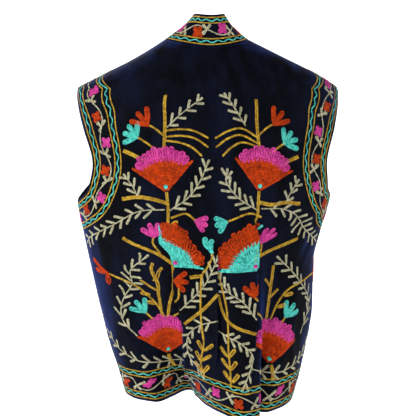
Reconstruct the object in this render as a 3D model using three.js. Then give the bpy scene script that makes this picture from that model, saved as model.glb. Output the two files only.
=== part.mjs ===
// A sleeveless, open-fronted velvet vest, filled out as when it is worn, with nobody in it.
// Millimetres. +Z is up, +X is the wearer's left and +Y the wearer's back.
// The origin is in the middle of the neck, level with the neck ends of the shoulder seams.
import * as THREE from 'three';

// ---------------------------------------------------------------- driving dimensions
const CLOTH = 2.4;            // velvet with its embroidery
const SEAM_GAP = 0.3;         // between two pieces at a seam
const HEM_Z = -648;           // level of the hem at the side seams
const UNDERARM_Z = -290;      // bottom of the armholes
const SHOULDER_TIP_Z = -85;   // top of the armholes
const NECK_DROP = 15;         // how far the neck seam dips at the centre back
const BAND_WIDTH = 58;        // neck band and front bands, seam to free edge
const FRONT_EDGE_X = 32;      // each front's free edge, out from the centre front
const ARMHOLE_INSET = 0.3;    // greatest cut-in of an armhole, as a share of a quarter of the girth
const FULLNESS = 0.06;        // how much fuller than an ellipse a section is at its four corners

// Sections of the filled-out form: half widths to the wearer's left and right, and how far the
// back and front stand out from the line through the side seams.
const SECTIONS = [
  { z: 0, left: 78, right: 73, back: 62, front: 55 },
  { z: -30, left: 124, right: 134, back: 76, front: 68 },
  { z: -60, left: 185, right: 197, back: 90, front: 80 },
  { z: SHOULDER_TIP_Z, left: 234, right: 237, back: 101, front: 90 },
  { z: -150, left: 243, right: 240, back: 120, front: 108 },
  { z: -230, left: 243, right: 236, back: 132, front: 120 },
  { z: UNDERARM_Z, left: 238, right: 223, back: 136, front: 124 },
  { z: -345, left: 228, right: 207, back: 137, front: 125 },
  { z: -405, left: 216, right: 194, back: 136, front: 124 },
  { z: -480, left: 200, right: 194, back: 133, front: 122 },
  { z: -550, left: 182, right: 184, back: 130, front: 120 },
  { z: -600, left: 168, right: 173, back: 127, front: 118 },
  { z: HEM_Z, left: 155, right: 160, back: 122, front: 114 },
];

// Folds, from the wearer's right to left. `share` is the place in the cloth, from 0 at the centre
// back to 1 at a side seam and 2 at the centre front, negative to the wearer's right. `x` and `y`
// are where that place hangs at the hem, `drop` is how far it hangs below HEM_Z, and `top` is the
// height where the fold begins.
const FOLDS = [
  { share: -2, x: 0, y: -120, drop: 10, top: -420 },
  { share: -1.72, x: -66, y: -122, drop: 10, top: -420 },
  { share: -1.55, x: -94, y: -92, drop: 10, top: -420 },
  { share: -1.38, x: -126, y: -90, drop: 12, top: -420 },
  { share: -1.2, x: -140, y: -52, drop: 12, top: -420 },
  { share: -1, x: -160, y: 0, drop: 14, top: -400 },
  { share: -0.77, x: -135, y: 69, drop: 14, top: -400 },
  { share: -0.61, x: -100, y: 103, drop: 15, top: -330 },
  { share: -0.5, x: -74, y: 96, drop: 15, top: -330 },
  { share: -0.4, x: -61, y: 78, drop: 12, top: -300 },
  { share: -0.24, x: -78, y: 127, drop: 19, top: -280 },
  { share: -0.14, x: -52, y: 140, drop: 19, top: -220 },
  { share: 0, x: -12, y: 106, drop: 13, top: -120 },
  { share: 0.14, x: 12, y: 74, drop: 7, top: -260 },
  { share: 0.26, x: 26, y: 36, drop: 2, top: -330 },
  { share: 0.4, x: 34, y: 4, drop: 0, top: -360 },
  { share: 0.56, x: 66, y: 34, drop: 1, top: -360 },
  { share: 0.72, x: 104, y: 66, drop: 2, top: -360 },
  { share: 0.86, x: 139, y: 42, drop: 1, top: -400 },
  { share: 1, x: 155, y: 0, drop: 0, top: -400 },
  { share: 1.22, x: 136, y: -54, drop: 4, top: -420 },
  { share: 1.4, x: 124, y: -92, drop: 8, top: -420 },
  { share: 1.56, x: 92, y: -90, drop: 9, top: -420 },
  { share: 1.72, x: 66, y: -121, drop: 10, top: -420 },
  { share: 2, x: 0, y: -120, drop: 10, top: -420 },
];

// The armhole's edge: how deep it is cut in, as a part of ARMHOLE_INSET, on the way down from
// the shoulder tip (0) to the underarm (1).
const ARMHOLE = [
  { down: 0, cut: 0 },
  { down: 0.15, cut: 0.42 },
  { down: 0.35, cut: 0.72 },
  { down: 0.65, cut: 1 },
  { down: 0.86, cut: 0.86 },
  { down: 0.96, cut: 0.45 },
  { down: 1, cut: 0 },
];

// Which way the band stands from its seam: at the centre back, and at the shoulder seams.
const BAND_AT_BACK = new THREE.Vector3(0, -0.2, 0.98).normalize();
const BAND_AT_SHOULDER = new THREE.Vector3(-0.8, -0.2, 0.57).normalize();
const BAND_LIES_FLAT_Z = -80; // below this the front bands lie in the form of the fronts
const BAND_SEAM_OUT_Z = -150; // below this the front bands' seams run parallel to their edges
const FOLD_GROWTH = 1.3;      // above 1, a fold starts slowly and deepens towards the hem

// Heights of the rows of points, closer together at the armholes, and the numbers of columns.
const ROWS = [
  0, -14, -28, -43, -57, -71, -85, -98, -116, -138, -162, -188, -214, -238, -258, -274, -285, -290,
  -315, -345, -375, -405, -435, -465, -495, -525, -555, -582, -606, -628, -648,
];
const FRONT_TOP_Z = -1.5; // the fronts come to a narrow end here, at the neck
const FRONT_ROWS = [FRONT_TOP_Z, -7, ...ROWS.slice(1)];
const BACK_COLUMNS = 38;
const FRONT_COLUMNS = 13;
const BAND_COLUMNS = 3;
const NECK_STEPS = 14;

// ---------------------------------------------------------------- curves through table rows
const clamp = (value, low, high) => Math.min(Math.max(value, low), high);
const mix = (a, b, t) => a + (b - a) * t;
const ease = (t) => t * t * (3 - 2 * t);

/** Index of the row that starts the interval holding x; `at` rises or falls along the rows. */
function interval(rows, at, x) {
  const rising = rows[rows.length - 1][at] > rows[0][at];
  let row = 0;
  while (row < rows.length - 2 && (rising ? x > rows[row + 1][at] : x < rows[row + 1][at])) {
    row += 1;
  }
  return row;
}

/** A smooth curve through the rows that never overshoots them. */
function through(rows, at, column, x) {
  const gap = (row, key) => rows[row + 1][key] - rows[row][key];
  const slope = (row) => gap(row, column) / gap(row, at);
  const tangent = (row) => {
    if (row === 0) return slope(0);
    if (row === rows.length - 1) return slope(row - 1);
    const before = slope(row - 1);
    const after = slope(row);
    return before * after <= 0 ? 0 : (2 * before * after) / (before + after);
  };
  const row = interval(rows, at, x);
  const step = gap(row, at);
  const t = clamp((x - rows[row][at]) / step, 0, 1);
  const start = (1 + 2 * t) * (1 - t) ** 2 * rows[row][column];
  const end = t * t * (3 - 2 * t) * rows[row + 1][column];
  const startTangent = t * (1 - t) ** 2 * step * tangent(row);
  const endTangent = t * t * (t - 1) * step * tangent(row + 1);
  return start + end + startTangent + endTangent;
}

/** Straight lines from row to row. */
function along(rows, at, column, x) {
  const row = interval(rows, at, x);
  const t = clamp((x - rows[row][at]) / (rows[row + 1][at] - rows[row][at]), 0, 1);
  return mix(rows[row][column], rows[row + 1][column], t);
}

// ---------------------------------------------------------------- the garment's form
/** Half width and depth of the quarter section that holds `share`, at height z. */
function quarter(share, z) {
  const side = share >= 0 ? 'left' : 'right';
  const face = Math.abs(share) <= 1 ? 'back' : 'front';
  const read = z > SHOULDER_TIP_Z ? along : through;
  return { width: read(SECTIONS, 'z', side, z), depth: through(SECTIONS, 'z', face, z) };
}

/** A point of the form without its folds. */
function smoothForm(share, z) {
  const { width, depth } = quarter(share, z);
  const fromBack = (Math.abs(share) * Math.PI) / 2;
  const evenness = (0.5 * (width - depth)) / (width + depth);
  let angle = fromBack;
  for (let turn = 0; turn < 8; turn += 1) angle = fromBack - evenness * Math.sin(2 * angle);
  const full = 1 + FULLNESS * Math.sin(2 * angle) ** 2;
  const x = Math.sign(share) * width * Math.sin(angle) * full;
  return new THREE.Vector3(x, depth * Math.cos(angle) * full, z);
}

/** How far each fold has come at height z, as rows to draw a curve through. */
function foldsAt(z) {
  return FOLDS.map(({ share, x, y, drop, top }) => {
    const rest = smoothForm(share, HEM_Z);
    const grown = clamp((top - z) / (top - HEM_Z), 0, 1) ** FOLD_GROWTH;
    return { share, x: grown * (x - rest.x), y: grown * (y - rest.y), z: -grown * drop };
  });
}

/** A point of the cloth's outer face. The neck seam's dip fades out by the shoulder tip. */
function outerFace(share, z, folds = foldsAt(z)) {
  const point = smoothForm(share, z);
  const reach = clamp(1 - z / SHOULDER_TIP_Z, 0, 1);
  const dip = NECK_DROP * reach * Math.max(Math.cos((share * Math.PI) / 2), 0) ** 2;
  point.x += through(folds, 'share', 'x', share);
  point.y += through(folds, 'share', 'y', share);
  point.z += through(folds, 'share', 'z', share) - dip;
  return point;
}

/** The outward direction at a point of the form. */
function outward(share, z) {
  const step = { share: 0.004, z: 1.5 };
  const low = Math.max(z - step.z, HEM_Z);
  const high = Math.min(z + step.z, 0);
  const across = outerFace(share + step.share, z).sub(outerFace(share - step.share, z));
  const up = outerFace(share, high).sub(outerFace(share, low));
  return up.cross(across).normalize();
}

/** Half a seam's gap, as a share of the cloth at height z. */
function halfGap(z) {
  const { width, depth } = quarter(1, z);
  return SEAM_GAP / 2 / ((Math.PI / 4) * (width + depth));
}

/** How far a panel reaches: to the shoulder seam, the armhole or the side seam. */
function panelReach(z) {
  const down = (SHOULDER_TIP_Z - z) / (SHOULDER_TIP_Z - UNDERARM_Z);
  return ARMHOLE_INSET * through(ARMHOLE, 'down', 'cut', clamp(down, 0, 1));
}

/** The place in the front, from 1 to 2, that lies `x` out from the centre front at height z. */
function placeAcross(side, x, z) {
  let low = 1;
  let high = 2;
  const folds = foldsAt(z);
  for (let halving = 0; halving < 30; halving += 1) {
    const middle = (low + high) / 2;
    if (Math.abs(outerFace(side * middle, z, folds).x) > x) low = middle;
    else high = middle;
  }
  return low;
}

/** Distance of the front band's seam from the centre front. */
function bandSeamX(side, z) {
  const start = Math.abs(smoothForm(side, 0).x);
  return mix(start, FRONT_EDGE_X + BAND_WIDTH, ease(clamp(z / BAND_SEAM_OUT_Z, 0, 1)));
}

// ---------------------------------------------------------------- solids
/** A closed wall: `at(i, j)` gives a point of the outer face and its outward direction. */
function wall(rows, columns, at) {
  const positions = [];
  const index = [];
  const stride = columns + 1;
  const inner = (rows + 1) * stride;
  const grid = [];
  for (let i = 0; i <= rows; i += 1) {
    for (let j = 0; j <= columns; j += 1) grid.push(at(i, j));
  }
  for (const { point } of grid) positions.push(point.x, point.y, point.z);
  for (const { point, out } of grid) {
    const lining = point.clone().addScaledVector(out, -CLOTH);
    positions.push(lining.x, lining.y, lining.z);
  }
  const quad = (a, b, c, d) => index.push(a, b, c, a, c, d);
  const apart = (a, b) => grid[a].point.distanceTo(grid[b].point);
  for (let i = 0; i < rows; i += 1) {
    for (let j = 0; j < columns; j += 1) {
      const corners = [0, 1, stride + 1, stride].map((step) => i * stride + j + step);
      const [a, b, c, d] = corners;
      if (apart(a, c) > apart(b, d)) corners.push(corners.shift());
      quad(...corners);
      quad(...corners.map((corner) => inner + corner).reverse());
    }
  }
  const rim = [];
  for (let j = 0; j < columns; j += 1) rim.push(j);
  for (let i = 0; i < rows; i += 1) rim.push(i * stride + columns);
  for (let j = columns; j > 0; j -= 1) rim.push(rows * stride + j);
  for (let i = rows; i > 0; i -= 1) rim.push(i * stride);
  rim.forEach((from, k) => {
    const to = rim[(k + 1) % rim.length];
    quad(to, from, inner + from, inner + to);
  });
  const geometry = new THREE.BufferGeometry();
  geometry.setAttribute('position', new THREE.Float32BufferAttribute(positions, 3));
  geometry.setIndex(index);
  geometry.computeVertexNormals();
  return geometry;
}

/** A panel between two places across, given for each height. */
function panel(heights, columns, placeFrom, placeTo) {
  return wall(heights.length - 1, columns, (i, j) => {
    const z = heights[i];
    const share = mix(placeFrom(z), placeTo(z), j / columns);
    return { point: outerFace(share, z), out: outward(share, z) };
  });
}

function backPanel() {
  const reach = (z) => 1 - panelReach(z) - halfGap(z);
  return panel(ROWS, BACK_COLUMNS, (z) => -reach(z), (z) => reach(z));
}

function frontPanel(side) {
  const armhole = (z) => side * (1 + panelReach(z) + halfGap(z));
  const bandSeam = (z) => side * (placeAcross(side, bandSeamX(side, z), z) - halfGap(z));
  const [from, to] = side > 0 ? [armhole, bandSeam] : [bandSeam, armhole];
  return panel(FRONT_ROWS, FRONT_COLUMNS, from, to);
}

/** The band's cross line at a place round the back of the neck: seam point and direction. */
function neckLine(share) {
  const lean = ease(Math.abs(share));
  const atShoulder = BAND_AT_SHOULDER.clone();
  atShoulder.x *= Math.sign(share);
  return {
    seam: outerFace(share, 0),
    direction: BAND_AT_BACK.clone().lerp(atShoulder, lean).normalize(),
    out: outward(share, 0),
  };
}

/** A point of a cross line and its outward direction, given the way that the band runs. */
function bandPoint(line, run, across, width) {
  const own = line.direction.clone().cross(run).normalize();
  const out = line.out.clone().lerp(own, ease(across)).normalize();
  const point = line.seam.clone().addScaledVector(line.direction, mix(SEAM_GAP, width, across));
  return { point, out };
}

function neckBand() {
  const end = 1 - halfGap(0);
  return wall(BAND_COLUMNS, NECK_STEPS, (i, j) => {
    const share = mix(-end, end, j / NECK_STEPS);
    const line = neckLine(share);
    const run = neckLine(share + 0.01).seam.sub(neckLine(share - 0.01).seam);
    return bandPoint(line, run, 1 - i / BAND_COLUMNS, BAND_WIDTH);
  });
}

/** The front band's cross line at height z: it turns from standing to lying on the front. */
function frontLine(side, z) {
  const seamPlace = side * Math.max(placeAcross(side, bandSeamX(side, z), z), 1 + halfGap(z));
  const seam = outerFace(seamPlace, z);
  const standing = neckLine(side).direction.multiplyScalar(BAND_WIDTH).add(seam);
  const lying = outerFace(side * placeAcross(side, FRONT_EDGE_X, z), z);
  const edge = standing.lerp(lying, ease(clamp(z / BAND_LIES_FLAT_Z, 0, 1)));
  const across = edge.sub(seam);
  return {
    seam,
    direction: across.clone().normalize(),
    width: across.length(),
    out: outward(seamPlace, z),
  };
}

function frontBand(side) {
  const heights = [0, ...FRONT_ROWS];
  return wall(heights.length - 1, BAND_COLUMNS, (i, j) => {
    const z = heights[i];
    const line = frontLine(side, z);
    const above = frontLine(side, Math.min(z + 1, 0)).seam;
    const run = frontLine(side, Math.max(z - 1, HEM_Z)).seam.sub(above);
    const across = side > 0 ? j / BAND_COLUMNS : 1 - j / BAND_COLUMNS;
    return bandPoint(line, run.multiplyScalar(side), across, line.width);
  });
}

// ---------------------------------------------------------------- the vest
const VELVET = 0x0d1430;
const BAND_VELVET = 0x0f1733;

function mesh(name, geometry, color) {
  const material = new THREE.MeshStandardMaterial({ color, roughness: 0.9, metalness: 0 });
  const piece = new THREE.Mesh(geometry, material);
  piece.name = name;
  return piece;
}

const vest = new THREE.Group();
vest.add(mesh('back', backPanel(), VELVET));
vest.add(mesh('front_left', frontPanel(1), VELVET));
vest.add(mesh('front_right', frontPanel(-1), VELVET));
vest.add(mesh('neck_band', neckBand(), BAND_VELVET));
vest.add(mesh('front_band_left', frontBand(1), BAND_VELVET));
vest.add(mesh('front_band_right', frontBand(-1), BAND_VELVET));

export default vest;
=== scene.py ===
"""An embroidered velvet vest, worn and seen from behind, with nobody in it.

The cloth's form is worked out in millimetres from short tables: sections of the filled-out
garment, hanging folds, tucks and creases. Each piece is a thin shell on that form. Its chain
stitch is laid along lines charted in the cloth's own sizes, so it follows every fold.
"""
import math

import bmesh
import bpy
import numpy as np
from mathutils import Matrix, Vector


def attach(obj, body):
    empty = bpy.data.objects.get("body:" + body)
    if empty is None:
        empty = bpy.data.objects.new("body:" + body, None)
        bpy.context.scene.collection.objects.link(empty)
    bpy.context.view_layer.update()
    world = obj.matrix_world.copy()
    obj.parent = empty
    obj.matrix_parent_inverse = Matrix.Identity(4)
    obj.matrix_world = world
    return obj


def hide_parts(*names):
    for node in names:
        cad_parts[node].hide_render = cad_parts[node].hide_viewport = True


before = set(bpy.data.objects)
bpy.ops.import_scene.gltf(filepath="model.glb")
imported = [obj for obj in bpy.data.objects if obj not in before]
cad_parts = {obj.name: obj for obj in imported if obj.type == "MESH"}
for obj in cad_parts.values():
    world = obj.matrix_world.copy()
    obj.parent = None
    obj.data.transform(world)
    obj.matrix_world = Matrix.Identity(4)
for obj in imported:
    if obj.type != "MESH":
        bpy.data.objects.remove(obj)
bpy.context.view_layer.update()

MM = 0.001

# ---------------------------------------------------------------- sizes of the garment, in mm
CLOTH = 2.4               # velvet with the backs of its stitches
HEM_Z = -648.0
UNDERARM_Z = -290.0
SHOULDER_TIP_Z = -85.0
NECK_DROP = 15.0          # how far the neck seam dips at the centre back
BAND_WIDTH = 58.0
FRONT_EDGE_X = 32.0       # each front's free edge, out from the centre front
FRONT_TOP_Z = -1.5        # where the fronts come to a narrow end at the neck
ARMHOLE_INSET = 0.3       # greatest cut-in of an armhole, as a share of a quarter of the girth
FULLNESS = 0.06           # how much fuller than an ellipse a section is at its corners
SEAM_GAP = 0.02           # between the pieces as sewn
BAND_LIES_FLAT_Z = -80.0  # where a front band has turned from standing to lying flat
BAND_SEAM_OUT_Z = -150.0  # where its seam has come out to its full distance
FOLD_GROWTH = 1.3         # folds deepen towards the hem as this power of the way down
SOFT_FROM_Z = -190.0      # the cloth is rounded down its length above this, fully so 60 mm up


def table(names, *rows):
    """Rows of numbers under named columns."""
    return {name: np.array(column, float) for name, column in zip(names.split(), zip(*rows))}


# Half widths to the wearer's left and right, and how far the back and front stand out.
SECTIONS = table(
    "z left right back front",
    (0, 78, 73, 62, 55),
    (-30, 124, 134, 76, 68),
    (-60, 185, 197, 90, 80),
    (SHOULDER_TIP_Z, 234, 237, 101, 90),
    (-150, 243, 240, 120, 108),
    (-230, 243, 236, 132, 120),
    (UNDERARM_Z, 238, 223, 136, 124),
    (-345, 228, 207, 137, 125),
    (-405, 216, 194, 136, 124),
    (-480, 200, 194, 133, 122),
    (-550, 182, 184, 130, 120),
    (-600, 168, 173, 127, 118),
    (HEM_Z, 155, 160, 122, 114),
)
# Where each place in the cloth hangs at the hem: share is 0 at the centre back, 1 at a side
# seam and 2 at the centre front, negative to the wearer's right.
FOLDS = table(
    "share x y drop top",
    (-2, 0, -120, 10, -420),
    (-1.72, -66, -122, 10, -420),
    (-1.55, -94, -92, 10, -420),
    (-1.38, -126, -90, 12, -420),
    (-1.2, -140, -52, 12, -420),
    (-1, -160, 0, 14, -400),
    (-0.77, -135, 69, 14, -400),
    (-0.61, -100, 103, 15, -330),
    (-0.5, -74, 96, 15, -330),
    (-0.4, -61, 78, 12, -300),
    (-0.24, -78, 127, 19, -280),
    (-0.14, -52, 140, 19, -220),
    (0, -12, 106, 13, -120),
    (0.14, 12, 74, 7, -260),
    (0.26, 26, 36, 2, -330),
    (0.4, 34, 4, 0, -360),
    (0.56, 66, 34, 1, -360),
    (0.72, 104, 66, 2, -360),
    (0.86, 139, 42, 1, -400),
    (1, 155, 0, 0, -400),
    (1.22, 136, -54, 4, -420),
    (1.4, 124, -92, 8, -420),
    (1.56, 92, -90, 9, -420),
    (1.72, 66, -121, 10, -420),
    (2, 0, -120, 10, -420),
)
ARMHOLE = table(
    "down cut", (0, 0), (0.15, 0.42), (0.35, 0.72), (0.65, 1), (0.86, 0.86), (0.96, 0.45), (1, 0)
)
QUARTER_GIRTH = 305.0
# Tucks where the cloth laps over itself: `place` across at even steps from top to bottom, the
# heights where each starts, is full, lessens and ends, how much cloth it takes up and how far
# its layers lie apart. `over` is the side that lies on top, 1 towards the wearer's left.
TUCKS = (
    dict(place=(-0.235, -0.233, -0.21, -0.18, -0.182), heights=(-285, -345, -500, -640),
         half=20, lap=8, lift=5.0, over=1),
    dict(place=(0.285, 0.25, 0.217, 0.25, 0.33), heights=(-375, -440, -590, -640),
         half=22, lap=12, lift=6.0, over=-1),
    dict(place=(0.018, 0.018), heights=(-330, -375, -520, -600),
         half=16, lap=5, lift=3.5, over=1),
)
TUCK_SWING_PEAK = 0.77    # the highest value of the curve that lays a tuck
# Creases: from one place to another across the piece (s, z), how far the cloth is pushed out
# (a ridge) or in (a trough), and half the width of the slope on each side.
BACK_CREASES = table(
    "s0 z0 s1 z1 push reach",
    (72, -30, 104, -250, 2.2, 13),
    (48, -60, 60, -230, -1.6, 15),
    (128, -70, 132, -190, -1.8, 12),
    (160, -90, 118, -300, 1.5, 16),
    (20, -20, 14, -330, 2.4, 15),
    (-6, -24, -8, -320, -2.0, 12),
    (-34, -40, -40, -250, 1.8, 14),
    (-92, -40, -112, -270, 2.0, 12),
    (-124, -60, -136, -230, -1.8, 13),
    (-160, -110, -128, -330, 1.6, 16),
    (205, -300, 120, -330, 2.0, 12),
    (250, -318, 170, -370, -1.8, 13),
    (-215, -300, -130, -335, 2.0, 12),
    (-250, -330, -190, -420, -2.0, 14),
    (180, -400, 196, -600, 1.8, 15),
    (-205, -420, -215, -600, 1.8, 14),
    (120, -500, 110, -640, -1.6, 13),
    (-120, -430, -126, -620, 1.5, 13),
)
FRONT_CREASES = table(
    "s0 z0 s1 z1 push reach",
    (60, -40, 90, -260, 2.0, 14),
    (120, -80, 118, -250, -1.8, 13),
    (150, -120, 96, -330, 1.6, 15),
    (190, -310, 110, -380, 2.0, 12),
    (60, -380, 66, -620, -1.6, 15),
    (150, -420, 160, -630, 1.8, 15),
)


# ---------------------------------------------------------------- curves through table rows
def through(at, values, x):
    """A smooth curve through table rows that never overshoots them."""
    if at[0] > at[-1]:
        at, values = at[::-1], values[::-1]
    steps = np.diff(at)
    slopes = np.diff(values) / steps
    before, after = slopes[:-1], slopes[1:]
    total = np.where(before + after == 0, 1, before + after)
    bend = np.where(before * after <= 0, 0.0, 2 * before * after / total)
    tangents = np.concatenate([slopes[:1], bend, slopes[-1:]])
    row = np.clip(np.searchsorted(at, x) - 1, 0, len(at) - 2)
    step = steps[row]
    t = np.clip((x - at[row]) / step, 0, 1)
    ends = (1 + 2 * t) * (1 - t) ** 2 * values[row] + t * t * (3 - 2 * t) * values[row + 1]
    bends = t * (1 - t) ** 2 * tangents[row] + t * t * (t - 1) * tangents[row + 1]
    return ends + bends * step


def ease(t):
    """Goes from 0 to 1 with level ends."""
    t = np.clip(t, 0, 1)
    return t * t * (3 - 2 * t)


def unit(vectors):
    length = np.linalg.norm(vectors, axis=-1, keepdims=True)
    return vectors / np.where(length == 0, 1, length)


def run_of(points):
    """How far along a line each of its points lies."""
    return np.concatenate([[0], np.cumsum(np.linalg.norm(np.diff(points, axis=0), axis=1))])


def along(points, run, marks):
    """The places at some distances along a line."""
    return np.stack([np.interp(marks, run, column) for column in points.T], axis=-1)


# ---------------------------------------------------------------- the garment's form
def quarter_sizes(z):
    """Half widths to the left and right and depths of the back and front at height z."""
    reads = {}
    for column in ("left", "right", "back", "front"):
        if z > SHOULDER_TIP_Z and column in ("left", "right"):
            reads[column] = np.interp(-z, -SECTIONS["z"], SECTIONS[column])
        else:
            reads[column] = float(through(SECTIONS["z"], SECTIONS[column], z))
    return reads


def smooth_ring(share, z):
    """The form without folds at one height, for an array of places round it."""
    sizes = quarter_sizes(z)
    width = np.where(share >= 0, sizes["left"], sizes["right"])
    depth = np.where(np.abs(share) <= 1, sizes["back"], sizes["front"])
    from_back = np.abs(share) * math.pi / 2
    evenness = 0.5 * (width - depth) / (width + depth)
    angle = from_back
    for _ in range(8):
        angle = from_back - evenness * np.sin(2 * angle)
    full = 1 + FULLNESS * np.sin(2 * angle) ** 2
    return np.sign(share) * width * np.sin(angle) * full, depth * np.cos(angle) * full


def folded(share, z):
    """The outer face at one height with its hanging folds and the dip of the neck seam."""
    x, y = smooth_ring(share, z)
    rest_x, rest_y = smooth_ring(FOLDS["share"], HEM_Z)
    grown = np.clip((FOLDS["top"] - z) / (FOLDS["top"] - HEM_Z), 0, 1) ** FOLD_GROWTH
    x = x + through(FOLDS["share"], grown * (FOLDS["x"] - rest_x), share)
    y = y + through(FOLDS["share"], grown * (FOLDS["y"] - rest_y), share)
    reach = np.clip(1 - z / SHOULDER_TIP_Z, 0, 1)
    dip = NECK_DROP * reach * np.clip(np.cos(share * math.pi / 2), 0, None) ** 2
    height = z + through(FOLDS["share"], -grown * FOLDS["drop"], share) - dip
    return x, y, height


def ring(share, z):
    """The outer face at one height, with the tucks laid in."""
    x, y, height = folded(share, z)
    for tuck in TUCKS:
        start, full, lessen, end = tuck["heights"]
        amount = ease((start - z) / (start - full)) * (1 - ease((lessen - z) / (lessen - end)))
        if amount <= 0:
            continue
        place = np.interp(-z, np.linspace(-start, -end, len(tuck["place"])), tuck["place"])
        u = (share - place) * QUARTER_GIRTH / tuck["half"]
        swing = np.where(np.abs(u) < 1, np.sin(math.pi * u) * (1 - u * u), 0) / TUCK_SWING_PEAK
        run_x, run_y = np.gradient(x, share), np.gradient(y, share)
        length = np.hypot(run_x, run_y)
        slide = -amount * (tuck["half"] + tuck["lap"]) / 2 * swing / length
        lift = amount * tuck["over"] * tuck["lift"] * swing / length
        x, y = x + slide * run_x - lift * run_y, y + slide * run_y + lift * run_x
    return np.stack([x, y, height], axis=-1)


def point_at(share, z):
    return np.array([float(value[0]) for value in folded(np.array([float(share)]), z)])


def half_gap(z):
    """Half a seam's gap, as a share of the cloth at height z."""
    sizes = quarter_sizes(z)
    return SEAM_GAP / 2 / (math.pi / 4 * (sizes["left"] + sizes["back"]))


def panel_reach(z):
    """How far a panel is cut back from the side: nothing at the seams, most at the armhole."""
    down = np.clip((SHOULDER_TIP_Z - z) / (SHOULDER_TIP_Z - UNDERARM_Z), 0, 1)
    return ARMHOLE_INSET * float(through(ARMHOLE["down"], ARMHOLE["cut"], down))


def place_across(side, x, z):
    """The place in the front, from 1 to 2, that lies x out from the centre front."""
    places = np.linspace(1, 2, 401)
    out = np.abs(folded(side * places, z)[0])
    return float(np.interp(-x, -out, places))


def band_seam_x(side, z):
    start = abs(float(smooth_ring(np.array([float(side)]), 0)[0][0]))
    return start + (FRONT_EDGE_X + BAND_WIDTH - start) * float(ease(z / BAND_SEAM_OUT_Z))


# ---------------------------------------------------------------- cloth as a chart
class Ground:
    """A piece of cloth charted by s, across it, and z, down it. `grid` holds points of its
    outer face, evenly spaced across each row from s_low to s_high; the cloth itself may end
    short of that, at edge_low and edge_high. `turned_over` is for a grid seen from its back."""

    def __init__(self, name, heights, grid, s_low, s_high, turned_over=False):
        self.name, self.heights, self.grid = name, heights, grid
        self.s_low, self.s_high = s_low, s_high
        self.edge_low, self.edge_high = s_low, s_high
        self.turned_over = turned_over
        self.order = 1 if heights[-1] > heights[0] else -1
        self.find_normals()

    def find_normals(self):
        across = np.gradient(self.grid, axis=1)
        down = np.gradient(self.grid, self.heights, axis=0) * self.order
        self.normals = unit(np.cross(across, down)) * (-1 if self.turned_over else 1)

    def soften(self, passes=70):
        """Rounds the cloth down its length, above the armholes, away from its side edges."""
        columns = np.linspace(-1, 1, self.grid.shape[1])
        inward = ease((1 - np.abs(columns)) / 0.3)[None, :, None]
        above = ease((self.heights - SOFT_FROM_Z) / 60)[:, None, None]
        weight = 0.5 * inward * above
        weight[0] = weight[-1] = 0
        for _ in range(passes):
            middle = (np.roll(self.grid, 1, axis=0) + np.roll(self.grid, -1, axis=0)) / 2
            self.grid = self.grid + weight * (middle - self.grid)
        self.find_normals()

    def crease(self, creases, side=1):
        """Pushes the cloth out or in along creases that fade at both ends."""
        columns = np.linspace(0, 1, self.grid.shape[1])
        s = self.s_low[:, None] + (self.s_high - self.s_low)[:, None] * columns
        z = np.broadcast_to(self.heights[:, None], s.shape)
        push = np.zeros_like(s)
        for s0, z0, s1, z1, height, reach in zip(*creases.values()):
            start, end = np.array([side * s0, z0]), np.array([side * s1, z1])
            run = end - start
            t = ((s - start[0]) * run[0] + (z - start[1]) * run[1]) / (run @ run)
            aside = np.abs((s - start[0]) * run[1] - (z - start[1]) * run[0]) / np.linalg.norm(run)
            fade = np.sin(math.pi * np.clip(t, 0, 1))
            push += height * fade * np.clip(1 - (aside / reach) ** 2, 0, 1) ** 2
        self.grid = self.grid + push[..., None] * self.normals
        self.find_normals()

    def at(self, s, z):
        """Points and outward directions of the outer face."""
        row = np.interp(self.order * z, self.order * self.heights, np.arange(len(self.heights)))
        i = np.clip(row.astype(int), 0, len(self.heights) - 2)
        f = row - i
        low = self.s_low[i] + (self.s_low[i + 1] - self.s_low[i]) * f
        high = self.s_high[i] + (self.s_high[i + 1] - self.s_high[i]) * f
        last = self.grid.shape[1] - 1
        column = np.clip((s - low) / (high - low), 0, 1) * last
        j = np.clip(column.astype(int), 0, last - 1)
        g = (column - j)[..., None]
        f = f[..., None]

        def blend(values):
            upper = values[i, j] * (1 - g) + values[i, j + 1] * g
            lower = values[i + 1, j] * (1 - g) + values[i + 1, j + 1] * g
            return upper * (1 - f) + lower * f

        return blend(self.grid), unit(blend(self.normals))

    def holds(self, s, z, margin):
        """Whether places are on the cloth, at least `margin` in from its sides."""
        low = np.interp(self.order * z, self.order * self.heights, self.edge_low)
        high = np.interp(self.order * z, self.order * self.heights, self.edge_high)
        inside = (s > low + margin) & (s < high - margin)
        return inside & (z > self.heights.min() + margin) & (z < self.heights.max() - margin)


def rows_between(top):
    """Heights of rows, with one at the shoulder tip and one at the underarm."""
    return np.concatenate([
        np.linspace(top, SHOULDER_TIP_Z, 31)[:-1],
        np.linspace(SHOULDER_TIP_Z, UNDERARM_Z, 56)[:-1],
        np.linspace(UNDERARM_Z, HEM_Z, 91),
    ])


def charted(name, heights, place_from, place_to, zero_place):
    """Charts the cloth between two places: s is the distance round the form from zero_place."""
    rows, low, high, edge_low, edge_high = [], [], [], [], []
    for z in heights:
        first, last, zero = place_from(z), place_to(z), zero_place(z)
        outer_low, outer_high = min(first, zero), max(last, zero)
        share = np.linspace(outer_low, outer_high, 901)
        points = ring(share, z)
        s = run_of(points[:, :2])
        s -= np.interp(zero, share, s)
        rows.append(along(points, s, np.linspace(s[0], s[-1], 401)))
        low.append(s[0])
        high.append(s[-1])
        edge_low.append(np.interp(first, share, s))
        edge_high.append(np.interp(last, share, s))
    ground = Ground(name, heights, np.array(rows), np.array(low), np.array(high))
    ground.edge_low, ground.edge_high = np.array(edge_low), np.array(edge_high)
    return ground


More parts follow.
